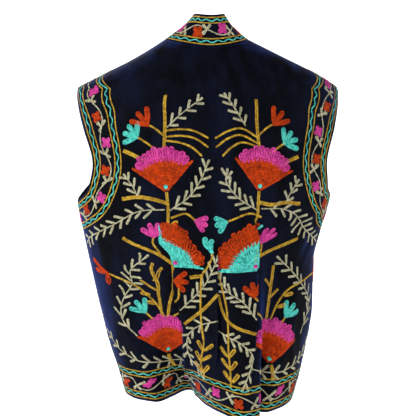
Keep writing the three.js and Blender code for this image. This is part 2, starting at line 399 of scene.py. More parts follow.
def back_ground():
    def reach(z):
        return 1 - panel_reach(z) - half_gap(z)
    ground = charted("back", rows_between(0.0), lambda z: -reach(z), reach, lambda z: 0.0)
    ground.soften()
    ground.crease(BACK_CREASES)
    return ground


def front_ground(side):
    """A front: s runs from 0 at the band seam, away from it to the side seam."""
    def armhole(z):
        return side * (1 + panel_reach(z) + half_gap(z))

    def band_seam(z):
        return side * (place_across(side, band_seam_x(side, z), z) - half_gap(z))
    first, last = (armhole, band_seam) if side > 0 else (band_seam, armhole)
    name = "front_left" if side > 0 else "front_right"
    ground = charted(name, rows_between(FRONT_TOP_Z), first, last, band_seam)
    ground.soften()
    ground.crease(FRONT_CREASES, -side)
    return ground


BAND_AT_BACK = unit(np.array([0, -0.2, 0.98]))
BAND_AT_SHOULDER = unit(np.array([-0.8, -0.2, 0.57]))


def neck_line(share):
    """The neck band's seam point at a place round the neck, and its direction up from there."""
    at_shoulder = BAND_AT_SHOULDER * np.array([np.sign(share), 1, 1])
    direction = unit(BAND_AT_BACK + (at_shoulder - BAND_AT_BACK) * ease(abs(share)))
    return point_at(share, 0), direction


def front_line(side, z):
    """The front band's cross line at height z: it turns from standing to lying flat."""
    place = max(place_across(side, band_seam_x(side, z), z), 1 + half_gap(z))
    seam = point_at(side * place, z)
    standing = seam + neck_line(side)[1] * BAND_WIDTH
    lying = point_at(side * place_across(side, FRONT_EDGE_X, z), z)
    across = standing + (lying - standing) * ease(z / BAND_LIES_FLAT_Z) - seam
    return seam, across


def band_ground(name, lines, turned_over):
    """A band: z runs along its seam and s across it, 0 at the seam. Each line is a seam point
    and the way across to the free edge."""
    seams = np.array([seam for seam, _ in lines])
    across = np.array([way for _, way in lines])
    width = np.linalg.norm(across, axis=1)
    t = np.linspace(0, 1, 25)[None, :, None]
    start = seams + unit(across) * SEAM_GAP
    grid = start[:, None] + (across - unit(across) * SEAM_GAP)[:, None] * t
    return Ground(name, run_of(seams), grid, np.zeros(len(seams)), width, turned_over)


# ---------------------------------------------------------------- shells of cloth
def add_object(name, data):
    """Puts a mesh, camera or light in the scene."""
    made = bpy.data.objects.new(name, data)
    bpy.context.collection.objects.link(made)
    return made


def shell(ground, columns, rows, materials):
    """A thin closed wall with its outer face on the form."""
    bm = bmesh.new()
    bmesh.ops.create_grid(bm, x_segments=columns, y_segments=rows, size=1.0)
    if ground.turned_over:
        bmesh.ops.reverse_faces(bm, faces=bm.faces[:])
    mesh = bpy.data.meshes.new(ground.name + "_cloth")
    bm.to_mesh(mesh)
    bm.free()
    flat = np.empty(len(mesh.vertices) * 3)
    mesh.vertices.foreach_get("co", flat)
    flat = flat.reshape(-1, 3)
    u, v = [(flat[:, k] - flat[:, k].min()) / np.ptp(flat[:, k]) for k in (0, 1)]
    row = v * (len(ground.heights) - 1)
    z = np.interp(row, np.arange(len(ground.heights)), ground.heights)
    low = np.interp(row, np.arange(len(ground.heights)), ground.edge_low)
    high = np.interp(row, np.arange(len(ground.heights)), ground.edge_high)
    s = low + (high - low) * u
    points, _ = ground.at(s, z)
    mesh.vertices.foreach_set("co", (points * MM).ravel())
    uv = mesh.uv_layers.new(name="cloth")
    corner = np.empty(len(mesh.loops), int)
    mesh.loops.foreach_get("vertex_index", corner)
    uv.data.foreach_set("uv", np.stack([s[corner], z[corner]], axis=-1).ravel() * MM)
    for material in materials:
        mesh.materials.append(material)
    mesh.shade_smooth()
    mesh.update()
    cloth = add_object(ground.name + "_cloth", mesh)
    wall = cloth.modifiers.new("wall", "SOLIDIFY")
    wall.thickness = CLOTH * MM
    wall.offset = -1
    wall.material_offset = 1
    wall.use_even_offset = False
    return cloth


# ---------------------------------------------------------------- chain stitch
def link_shape():
    """One link of chain stitch, a unit long and wide: a low dome, narrow where it starts."""
    bm = bmesh.new()
    bmesh.ops.create_grid(bm, x_segments=4, y_segments=2, size=0.5)
    for vert in bm.verts:
        forward, across = vert.co.x + 0.5, vert.co.y * 2
        bulge = 0.45 + 0.55 * math.sin(math.pi * min(forward * 0.78 + 0.1, 1.0)) ** 0.8
        if forward > 0.99:
            bulge = 0.42
        vert.co.y = across * 0.5 * bulge
        crown = 0.55 + 0.45 * math.sin(math.pi * forward)
        vert.co.z = crown if abs(across) < 0.01 else 0.22 * crown
    rim = [edge for edge in bm.edges if edge.is_boundary]
    bmesh.ops.contextual_create(bm, geom=rim)
    bmesh.ops.recalc_face_normals(bm, faces=bm.faces[:])
    bmesh.ops.triangulate(bm, faces=bm.faces[:])
    points = np.array([vert.co for vert in bm.verts])
    corners = np.array([[vert.index for vert in face.verts] for face in bm.faces])
    bm.free()
    return points, corners


LINK_POINTS, LINK_CORNERS = link_shape()
ROW = 3.4            # width of a row of chain stitch
FINE_ROW = 2.6       # in the cream leaves and the borders' lines
LINK_PITCH = 1.12    # from one link to the next, in row widths
LINK_LENGTH = 1.5    # each link reaches under the next
LINK_HEIGHT = 0.36   # above the cloth, in row widths
SUNK = 0.25          # mm of each link that lies in the pile
UNEVENNESS = 0.045   # spread of the links' sizes and turns
draw = np.random.default_rng(11)    # every uneven size and turn is drawn from this


class Needlework:
    """Collects the links of one piece of cloth by thread colour, and makes them meshes."""

    def __init__(self, ground):
        self.ground = ground
        self.links = {}

    def row(self, thread, path, width=ROW, lift=0.0, margin=1.5):
        """A row of chain stitch along a line of (s, z) places."""
        path = np.asarray(path, float)
        length = run_of(path)
        fine = np.linspace(0, length[-1], max(int(length[-1] / 0.8), 4))
        s, z = along(path, length, fine).T
        points, normals = self.ground.at(s, z)
        inside = self.ground.holds(s, z, margin)
        run = run_of(points)
        count = max(int(round(run[-1] / (width * LINK_PITCH))), 1)
        middle = (np.arange(count) + 0.5) * run[-1] / count
        half = width * LINK_LENGTH / 2
        centre = along(points, run, middle)
        ahead = along(points, run, np.minimum(middle + half, run[-1]))
        behind = along(points, run, np.maximum(middle - half, 0))
        normal = unit(along(normals, run, middle))
        tangent = ahead - behind
        tangent = unit(tangent - normal * (tangent * normal).sum(-1, keepdims=True))
        keep = np.interp(middle, run, inside.astype(float)) > 0.6
        pieces = [centre + normal * lift, tangent, normal, np.full((count, 1), width)]
        self.links.setdefault(thread, []).append(np.concatenate(pieces, axis=1)[keep])

    def finish(self):
        """One joined mesh for each thread, by the thread's name."""
        return {
            thread: joined_links(f"{self.ground.name}_{thread}_stitches", thread,
                                 np.concatenate(rows))
            for thread, rows in self.links.items()
        }


def joined_links(name, thread, rows):
    """Links as one mesh. Each row holds a link's centre, direction, outward way and width."""
    centre, tangent, normal, width = rows[:, :3], rows[:, 3:6], rows[:, 6:9], rows[:, 9:]
    count = len(rows)
    side = np.cross(normal, tangent)
    wobble = draw.normal(0, UNEVENNESS, (count, 3))
    tangent = unit(tangent + side * wobble[:, :1])
    side = np.cross(normal, tangent)
    sizes = np.concatenate([width * LINK_LENGTH, width * 1.04, width * LINK_HEIGHT], axis=1)
    sizes = sizes * (1 + wobble)
    local = LINK_POINTS[None] * sizes[:, None]
    world = (
        centre[:, None] - normal[:, None] * SUNK
        + tangent[:, None] * local[..., :1]
        + side[:, None] * local[..., 1:2]
        + normal[:, None] * local[..., 2:]
    )
    mesh = bpy.data.meshes.new(name)
    per = len(LINK_POINTS)
    corners = (LINK_CORNERS[None] + np.arange(count)[:, None, None] * per).reshape(-1)
    mesh.vertices.add(count * per)
    mesh.vertices.foreach_set("co", (world * MM).ravel())
    mesh.loops.add(len(corners))
    mesh.loops.foreach_set("vertex_index", corners)
    mesh.polygons.add(len(corners) // 3)
    mesh.polygons.foreach_set("loop_start", np.arange(0, len(corners), 3))
    mesh.update(calc_edges=True)
    shade = mesh.attributes.new("shade", "FLOAT", "POINT")
    shade.data.foreach_set("value", np.repeat(draw.uniform(0, 1, count), per))
    uv = mesh.uv_layers.new(name="link")
    uv.data.foreach_set("uv", LINK_POINTS[corners % per][:, :2].ravel() + 0.5)
    mesh.materials.append(THREADS[thread])
    mesh.shade_smooth()
    mesh.validate()
    return add_object(name, mesh)


# ---------------------------------------------------------------- lines and motifs
def curve(points):
    """A smooth line through points, in steps of about 2 mm."""
    points = np.asarray(points, float)
    if len(points) == 2:
        return points
    padded = np.concatenate([[2 * points[0] - points[1]], points, [2 * points[-1] - points[-2]]])
    line = [points[:1]]
    for a, b, c, d in zip(padded, padded[1:], padded[2:], padded[3:]):
        t = np.linspace(0, 1, max(int(np.linalg.norm(c - b) / 2), 2) + 1)[1:, None]
        line.append(0.5 * (
            2 * b + (c - a) * t + (2 * a - 5 * b + 4 * c - d) * t ** 2
            + (3 * b - a - 3 * c + d) * t ** 3
        ))
    return np.concatenate(line)


def beside(line, distance):
    """The same line moved to its left by a distance, or by one for each point."""
    line = np.asarray(line, float)
    run = np.gradient(line, axis=0)
    left = unit(np.stack([-run[:, 1], run[:, 0]], axis=-1))
    return line + left * np.reshape(distance, (-1, 1))


def turned(angle):
    """A direction in the cloth: 0 is up, positive towards +s, in degrees."""
    return np.array([math.sin(math.radians(angle)), math.cos(math.radians(angle))])


def heading_of(way):
    """The angle of a direction in the cloth, in degrees."""
    return math.degrees(math.atan2(way[0], way[1]))


def stem(work, points, width=5.6):
    """A thick stem of two gold rows."""
    line = curve(points)
    for way in (-1, 1):
        work.row("gold", beside(line, way * width / 4), width / 2 + 0.2)


def twig(work, points):
    """A thin stem of one gold row."""
    work.row("gold", curve(points), 3.9)


def petal(work, thread, base, angle, length, width, row=ROW, start=0.12, lift=0.0):
    """A petal or leaf: a loop of chain stitch, filled by one row if it is broad enough."""
    ahead, aside = turned(angle), turned(angle + 90)
    half = (width - row) / 2
    turn = np.linspace(0, 1, 15)
    out = start + (1 - start) * turn
    bulge = half * np.sin(math.pi * np.minimum(0.5, out * 0.72)) ** 0.9
    reach = length - row / 2 - half
    right = base + np.outer(out * reach, ahead) + np.outer(bulge, aside)
    left = base + np.outer(out * reach, ahead) - np.outer(bulge, aside)
    tip_turn = np.linspace(0, math.pi, 9)[1:-1]
    tip_half = bulge[-1]
    tip = base + np.outer(reach + np.sin(tip_turn) * tip_half, ahead)
    tip = tip + np.outer(np.cos(tip_turn) * tip_half, aside)
    work.row(thread, np.concatenate([right, tip, left[::-1]]), row, lift)
    if width > 2.3 * row:
        fill = [base + ahead * length * 0.25, base + ahead * (length - row * 1.4)]
        work.row(thread, fill, min(width - 1.6 * row, row * 1.15), lift + 0.15)


LEAF_WIDTH = 4.7


def sprig(work, points, pairs, leaf=21.0):
    """A cream sprig: a fine stem with uneven pairs of narrow leaves, and one at its tip."""
    line = curve(points)
    work.row("cream", line, FINE_ROW)
    run = run_of(line)
    for k in range(pairs):
        pair_at = run[-1] * (0.1 + 0.83 * k / max(pairs - 1, 1))
        for way in (-1, 1):
            place = min(pair_at + 2.5 * way, run[-1] - 1)
            heading = heading_of(along(line, run, place + 2) - along(line, run, place - 2))
            size = leaf * (1 - 0.18 * k / max(pairs, 1)) * draw.uniform(0.88, 1.1)
            angle = heading + way * 40 * draw.uniform(0.88, 1.15)
            petal(work, "cream", along(line, run, place), angle, size, LEAF_WIDTH, FINE_ROW, 0.1)
    heading = heading_of(line[-1] - line[-3])
    petal(work, "cream", line[-1], heading, leaf * 0.55, LEAF_WIDTH, FINE_ROW, 0.1)


def tulip(work, thread, base, angle, petals=3, length=33.0, spread=37.0):
    """An open flower of long petals on one side."""
    width = 9.4
    base = np.asarray(base, float)
    for k in range(petals):
        turn = (k - (petals - 1) / 2) * spread
        long = length * (1 if k in (0, petals - 1) else 0.94)
        petal(work, thread, base, angle + turn, long, width, lift=0.1 * k)
    petal(work, thread, base - turned(angle) * 2, angle, length * 0.4, width * 0.9, lift=0.5)


def blossom(work, thread, centre, angle, size):
    """A small flower of four petals in a border."""
    for turn in (0, 90, 180, 270):
        petal(work, thread, centre, angle + turn, size * 0.54, size * 0.42, row=3.1, start=0.2)
    work.row(thread, [centre - [1.8, 0], centre + [1.8, 0]], 3.6, 0.3)


def dot(work, thread, centre):
    """A small raised disc: a ring of links round a short row."""
    turn = np.linspace(0, 2 * math.pi, 13)
    work.row(thread, centre + 2.31 * np.stack([np.cos(turn), np.sin(turn)], axis=-1), 3.0, 1.3)
    work.row(thread, [centre - [1, 0], centre + [1, 0]], 3.0, 1.5)


def fan(work, side, apex, radius, edges, threads, petals, fringe_from=0.73, narrow=1.0):
    """A fan-shaped carnation: a filled body with two pointed corners, a fringe of loops
    between them and a dot. Edges are angles from straight up, positive away from the
    centre. `fringe_from` is where the fringe starts, as a share of the radius, and `narrow`
    is how much less the fan measures across than up."""
    body, fringe, spot = threads
    apex = np.asarray(apex, float)
    start, end = edges
    span = math.radians(end - start)

    def out(angle):
        return turned(side * angle) * np.array([narrow, 1])

    def rim(share):
        return radius * (1 - 0.1 * (2 * share - 1) ** 2)

    def body_reach(share):
        """The body rises from the fringe's foot in the middle to the tips of its corners."""
        foot = fringe_from * radius
        return foot + (rim(share) - foot) * abs(2 * share - 1) ** 9

    # A ray whose number divides by more twos starts nearer to the apex, so that the rows lie
    # side by side and don't pile up there.
    rays = int(round(span * radius * fringe_from / (ROW * 0.8)))
    for ray in range(rays + 1):
        share = ray / rays
        way = out(start + (end - start) * share)
        twos = (ray & -ray) if 0 < ray < rays else rays
        begin = max(0.62 * ROW * rays / (span * twos), 3.0)
        reach = body_reach(share) * (1.02 if twos % 4 else 0.99)
        work.row(body, [apex + way * min(begin, reach * 0.8), apex + way * reach], ROW * 1.25)
    corner = 0.05
    step = (1 - 2 * corner) / petals
    for k in range(petals):
        share = corner + step * (k + 0.5)
        way = out(start + (end - start) * share)
        size = float(np.linalg.norm(way))
        foot = min(body_reach(share), radius * 0.84) - 4
        broad = step * span * radius * 1.04
        long = (rim(share) * (1.02 + 0.03 * math.sin(2.3 * k)) - foot) * size
        petal(work, fringe, apex + way * foot, heading_of(way), long, broad, lift=0.55, start=0.0)
    dot(work, spot, apex + out((start + end) / 2) * 8)


# ---------------------------------------------------------------- borders
# How much wider the armhole borders stand on the chart where the cloth turns over the shoulder.
WIDER_AT = table(
    "z wider", (-290, 1), (-205, 1.12), (-180, 1.24), (-150, 1.48), (-105, 1.3), (-60, 1.3)
)


def offset_line(edge, distance, widens=False):
    """A line beside an edge, with the loops that a tight bend makes cut out. One that widens
    over the shoulder is smoothed too."""
    if widens:
        distance = distance * np.interp(edge[:, 1], WIDER_AT["z"], WIDER_AT["wider"])
    line = beside(edge, distance)
    ahead = (np.diff(line, axis=0) * np.diff(edge, axis=0)).sum(-1) > 0
    line = even(line[np.concatenate([[True], ahead])])
    for _ in range(60 if widens else 0):
        line[1:-1] = (line[:-2] + 2 * line[1:-1] + line[2:]) / 4
    return even(line)


def even(line, step=1.5):
    """The same line with its points evenly spaced."""
    run = run_of(line)
    return along(line, run, np.linspace(0, run[-1], max(int(run[-1] / step), 2)))


WAVE_HEIGHT, WAVE_LENGTH = 1.7, 21.0


def wave(work, edge, distance, widens, margin):
    """A turquoise row that sways from side to side."""
    line = offset_line(edge, distance, widens)
    run = np.arange(len(line)) * np.linalg.norm(line[1] - line[0])
    sway = WAVE_HEIGHT * np.sin(2 * math.pi * run / WAVE_LENGTH)
    work.row("turquoise", beside(line, sway), FINE_ROW, margin=margin)


def vine(work, edge, near, far, spacing, first, way, size, widens):
    """A winding cream stem with a flower in each bend and leaves at its foot. It runs
    between two distances from the edge."""
    middle, swing = (near + far) / 2, (far - near) / 2 - 4.5
    line = offset_line(edge, middle, widens)
    run = np.arange(len(line)) * np.linalg.norm(line[1] - line[0])
    ahead = unit(np.gradient(line, axis=0))
    left = np.stack([-ahead[:, 1], ahead[:, 0]], axis=-1)
    sway = -swing * np.cos(math.pi * (run - first) / spacing)
    stem_line = line + left * sway[:, None]
    work.row("cream", stem_line, FINE_ROW)
    for k in range(int((run[-1] - first) / spacing) + 1):
        at = first + spacing * k
        i = min(int(at / run[1]), len(line) - 1)
        lean = 1 if k % 2 == 0 else -1
        centre = line[i] + left[i] * lean * 3.5
        heading = heading_of(ahead[i])
        turn = heading + 45 + draw.uniform(-12, 12)
        blossom(work, ("pink", "orange")[k % 2], centre, turn, size)
        foot = min(max(int((at - way * spacing * 0.38) / run[1]), 0), len(line) - 1)
        root = stem_line[foot]
        toward = heading if way > 0 else heading + 180
        work.row("cream", [root, centre - ahead[i] * way * size * 0.42], FINE_ROW)
        for turn, long in ((-52, 14), (40, 12), (130, 11)):
            petal(work, "cream", root, toward - lean * turn, long, 5.2, FINE_ROW, start=0.1)


def border(work, edge, lines, waves, vine_between, spacing, first, margin=1.5, way=1, size=20.0,
           widens=False):
    """Gold lines and waves at distances from an edge, with a vine between them."""
    for distance in lines:
        work.row("gold", offset_line(edge, distance, widens), FINE_ROW, margin=margin)
    for distance in waves:
        wave(work, edge, distance, widens, margin)
    vine(work, edge, *vine_between, spacing, first, way, size, widens)


# ---------------------------------------------------------------- the design, in cloth sizes
def mirrored(side, out=0.0):
    """Makes places on either half, or one place, from the distance from the centre and the
    height of each. `out` moves them all from the centre."""
    def places(*points):
        made = np.array([(side * (x + out), z) for x, z in points], float)
        return made if len(points) > 1 else made[0]
    return places


def upper_spray(work, side, out, arch, tip):
    """Post, arcs, open flowers and the uppermost fan. `arch` is how much the arcs rise and the
    outer stems drop, and `tip` the end of the long sprig beside the centre."""
    at = mirrored(side, out)
    for line in (
        ((80, -158 - arch), (54, -155), (30, -158), (6, -170)),
        ((80, -168 - arch), (52, -166), (28, -171), (7, -185)),
        ((80, -174 - arch), (54, -178), (34, -186), (18, -200)),
    ):
        twig(work, at(*line))
    stem(work, at((80, -97 - arch * 0.6), (79, -140), (82, -188)))
    from_post = (76, -152), (50, -128), (22, -107)
    if side < 0:
        from_post = (59, -150), (45, -127), (29, -100)
    sprig(work, at(*from_post), pairs=4, leaf=19)
    twig(work, at((82, -166), (98, -153), (110, -147)))
    tulip(work, "orange", at((108, -149)), side * 40)
    twig(work, at((96, -190 - arch), (114, -177 - arch), (129, -168 - arch)))
    tulip(work, "turquoise", at((128, -169 - arch)), side * 55, petals=4, length=28, spread=38)
    stem(work, at((116, -208 - arch), (136, -199 - arch), (153, -192 - arch)), width=6.6)
    stem(work, at((80, -262), (78, -292), (80, -330), (86, -388)), width=5.2)
    edges = (-41 + arch / 2, 56 + arch / 2)
    fan(work, side, at((80, -261)), 76, edges, ("orange", "pink", "turquoise"), 11)
    branch = at((80, -281), (104, -274 - arch), (130, -271 - arch), (158, -275 - arch))
    stem(work, branch, width=6.6)
    sprig(work, at((130, -271 - arch), (138, -254 - arch), (149, -239 - arch)), pairs=3, leaf=18)
    sprig(work, at((76, -294), (44, -272), (24, -246), tip), pairs=6)
    sprig(work, at((84, -292), (130, -296), (180, -322), (256, -357)), pairs=9)


def middle_spray(work, side, inner_thread, narrow):
    """The half fans on each side of the centre, and what grows round them."""
    at = mirrored(side)
    flower = (37, -311) if side > 0 else (16, -311)
    twig(work, at((79, -306), (54, -299), flower))
    tulip(work, inner_thread, at(flower), side * -108, length=23, spread=36)
    petal(work, "gold", at((84, -322)), side * -58, 19, 7.5)
    if side > 0:
        twig(work, at((112, -371), (111, -355), (109, -338)))
        tulip(work, "pink", at((109, -339)), side * 2, petals=4, length=27, spread=38)
        stem(work, at((92, -388), (122, -366), (164, -343)), width=6.2)
        stem(work, at((92, -391), (97, -402), (112, -414), (136, -432), (149, -460), (158, -490)))
    else:
        twig(work, at((124, -376), (124, -362), (120, -348)))
        tulip(work, "pink", at((120, -350)), side * 2, petals=4, length=27, spread=38)
        stem(work, at((86, -388), (125, -372), (192, -348)), width=6.2)
    apex = at((92, -391) if side > 0 else (83, -393))
    fan(work, side, apex, 80, (-92, 10), ("turquoise", "orange", "pink"), 13, 0.6, narrow)


def lower_spray(work, side):
    """The lowest fan, the stems that rise from it and the sprigs that curve round it."""
    at = mirrored(side)
    if side > 0:
        curved = (222, -524), (241, -489), (226, -446), (190, -415), (142, -378)
        forks = (
            ((168, -490), (167, -459), (166, -437), (152, -420), (136, -404), (127, -386)),
            ((156, -420), (134, -409), (112, -395)),
            ((168, -438), (176, -430), (178, -418)),
        )
        arc = (163, -490), (176, -460), (191, -442), (206, -424), (226, -410)
        leaves = ((181, -446), 78), ((172, -464), 74)
        flower, bud = (227, -409), (196, -480)
    else:
        curved = (238, -520), (252, -468), (214, -425), (168, -384)
        forks = (
            ((156, -490), (154, -440), (155, -392)),
            ((152, -428), (140, -414)),
            ((154, -450), (168, -434)),
        )
        arc = (164, -486), (172, -456), (191, -434), (232, -424), (270, -420)
        leaves = ((180, -446), 82), ((170, -466), 76)
        flower, bud = (270, -420), (190, -483)
    sprig(work, at(*curved), pairs=9)
    sprig(work, at((74, -557), (130, -577), (194, -577), (252, -560), (300, -529)), pairs=10)
    for k, line in enumerate(forks):
        stem(work, at(*line), width=5.6 if k == 0 else 4.8)
    twig(work, at(*arc))
    tulip(work, "orange", at(flower), side * 88, length=36, spread=36)
    for foot, angle in leaves:
        petal(work, "gold", at(foot), side * angle, 19, 7.5)
    twig(work, at((178, -500), (186, -492), bud))
    tulip(work, "turquoise", at(bud), side * 34, length=29, spread=40)
    stem(work, at((161, -566), (163, -592)), width=6.6)
    fan(work, side, at((161, -563)), 77, (-47, 58), ("orange", "pink", "turquoise"), 12)


def centre_spray(work, side, bud_thread):
    """The slim tree on each side of the centre line, and what crosses it."""
    at = mirrored(side)
    if side > 0:
        trunk = (20, -366), (33, -391), (43, -408), (47, -454), (46, -510), (34, -592)
        branch = (78, -497), (46, -470), (15, -436)
        rising = (84, -472), (54, -442), (34, -415), (16, -378)
        curled = (16, -483), (52, -498), (75, -522), (68, -554), (40, -590)
        tulip(work, bud_thread, at((19, -363)), -14, petals=2, length=26, spread=32)
        stem(work, at((43, -407), (64, -411)), width=6.6)
        twig(work, at((150, -488), (118, -470), (88, -452), (84, -430)))
        tulip(work, "orange", at((91, -417)), -98, length=27, spread=42)
    else:
        trunk = (9, -393), (18, -425), (27, -466), (29, -530), (24, -594)
        branch = (10, -436), (18, -464), (36, -485), (80, -500)
        rising = (80, -476), (56, -446), (30, -430), (8, -404)
        curled = (8, -500), (30, -508), (53, -516), (73, -540), (50, -588)
        tulip(work, bud_thread, at((9, -392)), -12, petals=1, length=25)
        twig(work, at((143, -486), (112, -462), (82, -444), (77, -438)))
        tulip(work, "orange", at((77, -438)), 12, length=28)
    stem(work, at(*branch))
    twig(work, at(*trunk))
    sprig(work, at(*rising), pairs=7)
    sprig(work, at(*curled), pairs=8, leaf=18)
    for z in (-544, -565, -586):
        foot = (np.interp(z, (-592, -510), (35, 45)) if side > 0 else 27, z)
        for way in (-1, 1):
            petal(work, "gold", at(foot), way * 42, 24, 7.5)


PAST_EDGE = 110.0    # how far an armhole's border lines start and end beyond it


def armhole_edge(ground, side):
    """The armhole's edge with straight runs past both ends, the cloth on its left."""
    within = (ground.heights <= SHOULDER_TIP_Z) & (ground.heights >= UNDERARM_Z)
    s = (ground.edge_high if side > 0 else ground.edge_low)[within]
    line = np.stack([s, ground.heights[within]], axis=-1)
    past_tip = unit(line[0] - line[9] + [-10 * side, 0]) * PAST_EDGE
    past_underarm = unit(line[-1] - line[-2]) * PAST_EDGE
    line = np.concatenate([[line[0] + past_tip], line, [line[-1] + past_underarm]])
    return even(line[::-1] if side > 0 else line, 2.0)


# Distances from the edge of each border's gold lines, waves and vine.
ARMHOLE_LINES = dict(lines=(6, 16, 42, 52), waves=(11, 47), vine_between=(17, 41))
HEM_LINES = dict(lines=(6, 16, 47, 57), waves=(11, 52), vine_between=(17, 46))
BAND_LINES = dict(lines=(5, 15, 43, 53), waves=(10, 48), vine_between=(16, 42))


def edge_borders(work, armholes):
    """Borders round the armholes on the given sides and along the hem."""
    ground = work.ground
    for side in armholes:
        border(work, armhole_edge(ground, side), spacing=48, first=30, way=side, widens=True,
               **ARMHOLE_LINES)
    low, high = ground.edge_low[-1], ground.edge_high[-1]
    hem = even(np.array([(low - 4, HEM_Z), (high + 4, HEM_Z)]), 2.0)
    border(work, hem, spacing=50, first=28, way=-1, margin=1.2, **HEM_LINES)


def embroider_back(ground):
    """Four sprays on each half of the back, which differ a little, and its borders."""
    work = Needlework(ground)
    for side, out, arch, tip, narrow, inner_thread, bud_thread in (
        (1, 6, 0, (10, -216), 0.72, "pink", "turquoise"),
        (-1, -6, 12, (24, -232), 1.04, "turquoise", "pink"),
    ):
        upper_spray(work, side, out, arch, tip)
        middle_spray(work, side, inner_thread, narrow)
        lower_spray(work, side)
        centre_spray(work, side, bud_thread)
    edge_borders(work, (1, -1))
    return work.finish()


def embroider_front(ground, side):
    """A front has one narrow spray: its chart is measured from the band seam."""
    work = Needlework(ground)
    at = mirrored(-side)
    stem(work, at((92, -470), (84, -420), (60, -370), (46, -330)))
    fan(work, -side, at((92, -540)), 70, (-50, 50), ("orange", "pink", "turquoise"), 11)
    stem(work, at((92, -542), (92, -590)))
    sprig(work, at((60, -372), (30, -330), (26, -270), (34, -200)), pairs=9)
    twig(work, at((47, -332), (50, -300), (64, -270)))
    tulip(work, "turquoise", at((64, -272)), -side * 14, petals=4, length=28)
    twig(work, at((74, -396), (100, -378), (124, -372)))
    tulip(work, "pink", at((122, -373)), -side * 70, petals=4, length=27)
    twig(work, at((70, -388), (46, -398), (34, -394)))
    tulip(work, "orange", at((36, -394)), side * 60)
    sprig(work, at((20, -580), (24, -520), (18, -470), (30, -430)), pairs=7)
    sprig(work, at((160, -575), (172, -520), (166, -460), (140, -410)), pairs=9)
    twig(work, at((34, -202), (38, -170), (40, -150)))
    tulip(work, "orange", at((40, -152)), 0, length=28)
    edge_borders(work, (-side,))
    return work.finish()


def embroider_band(ground, first, spacing, size):
    """One border along a band's seam."""
    work = Needlework(ground)
    end = ground.heights[-1]
    seam = even(np.array([(0.0, end + 4), (0.0, -4.0)]), 2.0)
    border(work, seam, spacing=spacing, first=first, way=-1, margin=1.0, size=size, **BAND_LINES)
    return work.finish()


# ---------------------------------------------------------------- finishes
def linear(red, green, blue):
    """A colour given in display values, 0 to 255."""
    def channel(value):
        value /= 255
        return value / 12.92 if value <= 0.04045 else ((value + 0.055) / 1.055) ** 2.4
    return (channel(red), channel(green), channel(blue), 1.0)


class Finish:
    """A material and its nodes, joined by short calls."""

    def __init__(self, name, **sockets):
        self.material = bpy.data.materials.new(name)
        self.material.use_nodes = True
        self.tree = self.material.node_tree
        self.shader = self.tree.nodes["Principled BSDF"]
        for socket, value in sockets.items():
            self.shader.inputs[socket.replace("_", " ")].default_value = value
        self.coordinates = self.node("ShaderNodeTexCoord")

    def node(self, kind, inputs=None, **settings):
        """A new node, its inputs joined to other sockets or set to values."""
        made = self.tree.nodes.new(kind)
        for name, value in settings.items():
            setattr(made, name, value)
        for socket, value in (inputs or {}).items():
            if hasattr(value, "links"):
                self.tree.links.new(value, made.inputs[socket])
            else:
                made.inputs[socket].default_value = value
        return made

    def place(self, scale=(1, 1, 1)):
        where = {"Vector": self.coordinates.outputs["Object"], "Scale": scale}
        return self.node("ShaderNodeMapping", where).outputs["Vector"]

    def noise(self, scale, detail=2.0, roughness=0.5, vector=None):
        inputs = {"Vector": vector or self.coordinates.outputs["Object"], "Scale": scale,
                  "Detail": detail, "Roughness": roughness}
        return self.node("ShaderNodeTexNoise", inputs).outputs["Fac"]

    def between(self, value, low, high, out_low=0.0, out_high=1.0):
        inputs = {"Value": value, "From Min": low, "From Max": high,
                  "To Min": out_low, "To Max": out_high}
        return self.node("ShaderNodeMapRange", inputs).outputs["Result"]

    def blend(self, factor, first, second):
        colours = {0: factor, 6: first, 7: second}
        return self.node("ShaderNodeMix", colours, data_type="RGBA").outputs[2]

    def sum(self, first, second, how="ADD"):
        return self.node("ShaderNodeMath", {0: first, 1: second}, operation=how).outputs[0]

    def bump(self, height, strength, distance):
        inputs = {"Height": height, "Strength": strength, "Distance": distance}
        self.to("Normal", self.node("ShaderNodeBump", inputs).outputs["Normal"])

    def to(self, socket, value):
        self.tree.links.new(value, self.shader.inputs[socket])


VELVET_DARK = linear(4, 5, 10)
VELVET_MID = linear(11, 16, 34)
# The colour of the painted sheen, mixed in where the surface turns away from the view.
VELVET_PAINTED_SHEEN = linear(27, 43, 98)


def velvet(name, painted_sheen_strength=1.0):
    """Velvet: nearly black face on, with a painted blue sheen where the surface turns away from
    the view, and lightly crushed patches of tone.
    The second argument is how strong the painted sheen is."""
    cloth = Finish(name, Roughness=0.7, Sheen_Weight=0.04, Sheen_Roughness=0.25,
                   Sheen_Tint=linear(60, 92, 190), Specular_IOR_Level=0.03)
    streaks = cloth.noise(16.0, 3.0, 0.6, cloth.place((1.0, 1.0, 0.22)))
    crushed = cloth.noise(34.0, 3.0, 0.65, cloth.place((1.0, 1.0, 0.6)))
    patches = cloth.sum(cloth.sum(streaks, 0.62, "MULTIPLY"), cloth.sum(crushed, 0.38, "MULTIPLY"))
    # Painted sheen: towards the edges of the view the colour is mixed towards a brighter blue,
    # most on the crushed patches.
    facing = cloth.node("ShaderNodeLayerWeight", {"Blend": 0.3}).outputs["Facing"]
    painted_sheen_mask = cloth.sum(facing, cloth.between(patches, 0.38, 0.66, 0.35, 1.5), "MULTIPLY")
    base = cloth.blend(cloth.between(patches, 0.42, 0.68), VELVET_DARK, VELVET_MID)
    painted_sheen_share = cloth.between(painted_sheen_mask, 0.2, 1.0, 0, painted_sheen_strength)
    cloth.to("Base Color", cloth.blend(painted_sheen_share, base, VELVET_PAINTED_SHEEN))
    pile = cloth.noise(1500.0, 2.0, 0.6)
    lay = cloth.noise(260.0, 2.0, 0.6, cloth.place((1.0, 1.0, 0.35)))
    cloth.bump(cloth.sum(pile, lay), 0.5, 0.0006)
    return cloth.material


